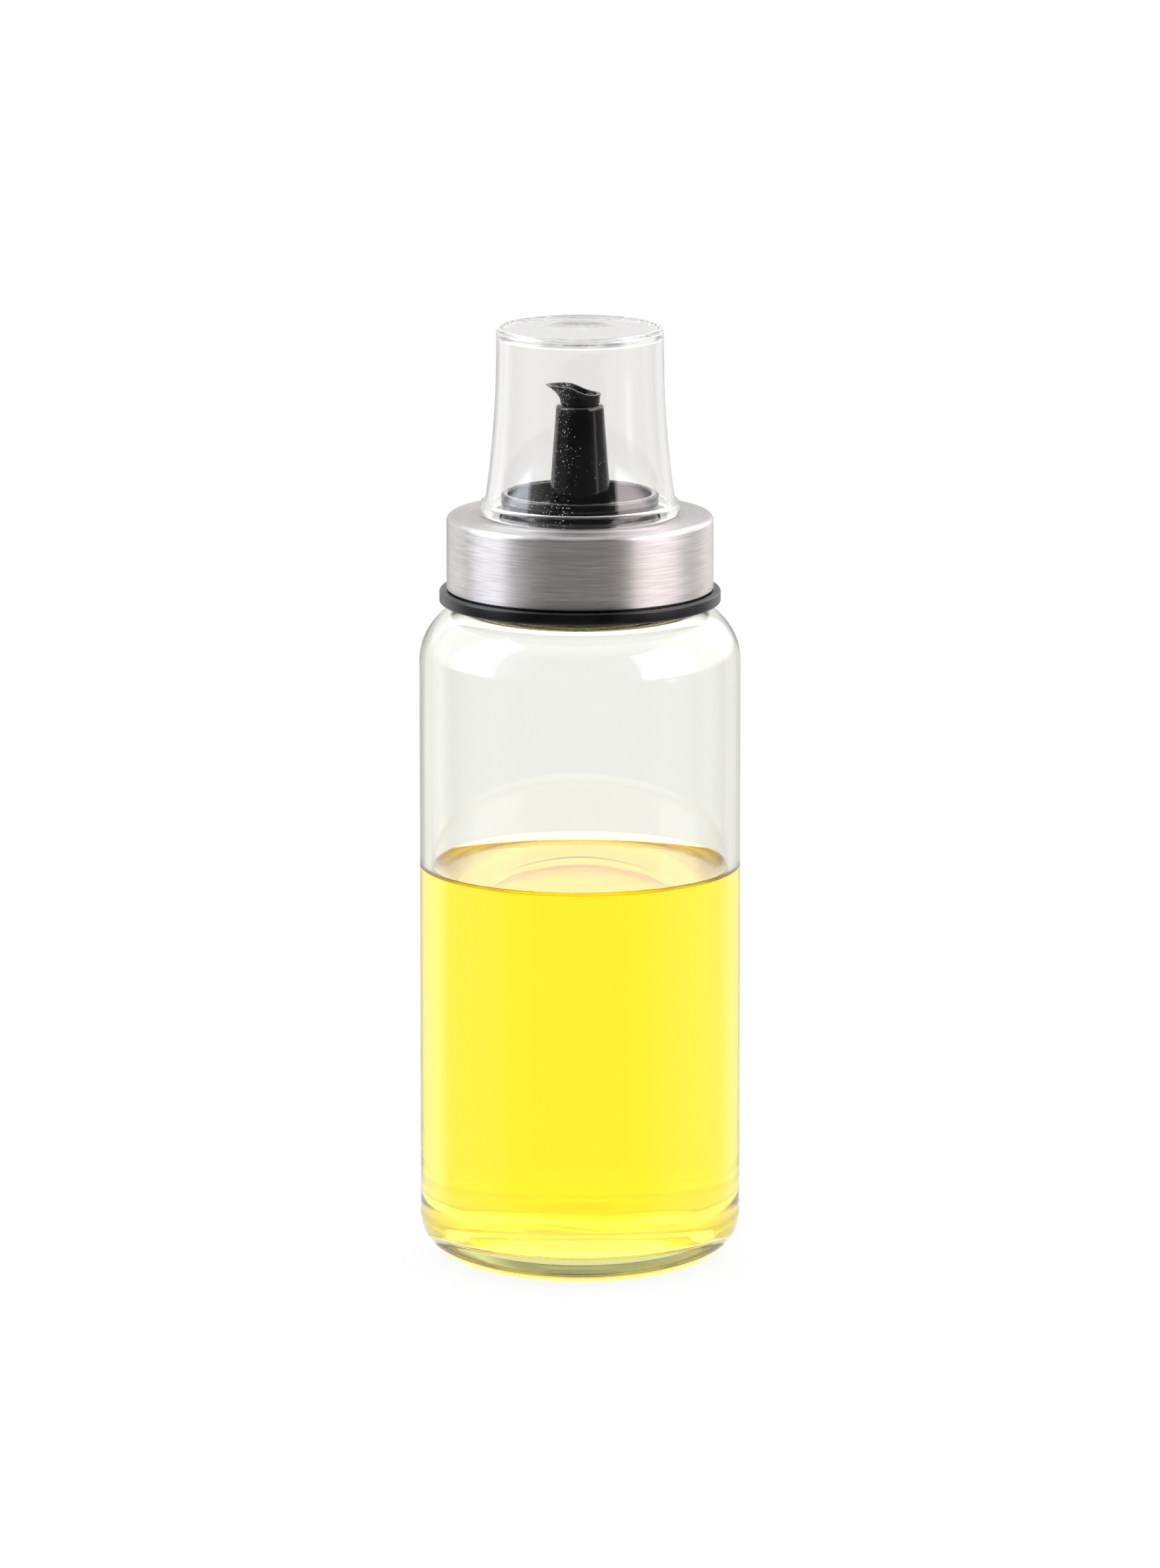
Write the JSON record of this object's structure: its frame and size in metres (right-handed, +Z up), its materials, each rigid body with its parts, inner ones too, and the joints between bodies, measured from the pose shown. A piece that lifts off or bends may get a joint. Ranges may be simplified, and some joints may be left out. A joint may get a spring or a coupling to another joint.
{
  "type": "oil bottle",
  "caption": "Clear cylindrical glass oil bottle, part filled with yellow oil, with a steel-clad screw head, black pour spout and clear dust cap.",
  "frame": {"origin": "centre of the base, on the surface the bottle stands on", "axes": "+Z up along the bottle, -X the way the pouring lip points, -Y the front"},
  "size_m": [0.0624, 0.0624, 0.1842],
  "materials": {
    "clear_glass": "gloss",
    "yellow_oil": "gloss",
    "gasket_white": "matte",
    "black_closure": "satin",
    "brushed_steel": "satin",
    "black_spout": "gloss",
    "black_beak": "satin",
    "vent_black": "satin",
    "clear_plastic": "gloss"
  },
  "bodies": {
    "bottle": {"glass_bottle": "clear_glass", "oil_fill": "yellow_oil"},
    "gasket": {"sealing_gasket": "gasket_white"},
    "head": {"screw_closure": "black_closure", "steel_collar": "brushed_steel", "pourer_insert": "black_spout", "pour_nozzle": "black_beak", "air_vent_tube": "vent_black"},
    "cap": {"dust_cap": "clear_plastic"}
  },
  "joints": [
    {"name": "head_rise", "type": "slide", "parent": "bottle", "child": "gasket", "axis": [0, 0, 1], "range_m": [0, 0.005]},
    {"name": "head_unscrew", "type": "hinge", "parent": "gasket", "child": "head", "pos_m": [0, 0, 0.138], "axis": [0, 0, 1], "range_deg": [0, 450]},
    {"name": "cap_pull", "type": "slide", "parent": "head", "child": "cap", "axis": [0, 0, 1], "range_m": [0, 0.045]}
  ],
  "couplings": [
    {"joint": "head_rise", "follows": "head_unscrew", "m_per_rad": 0.00063662}
  ]
}
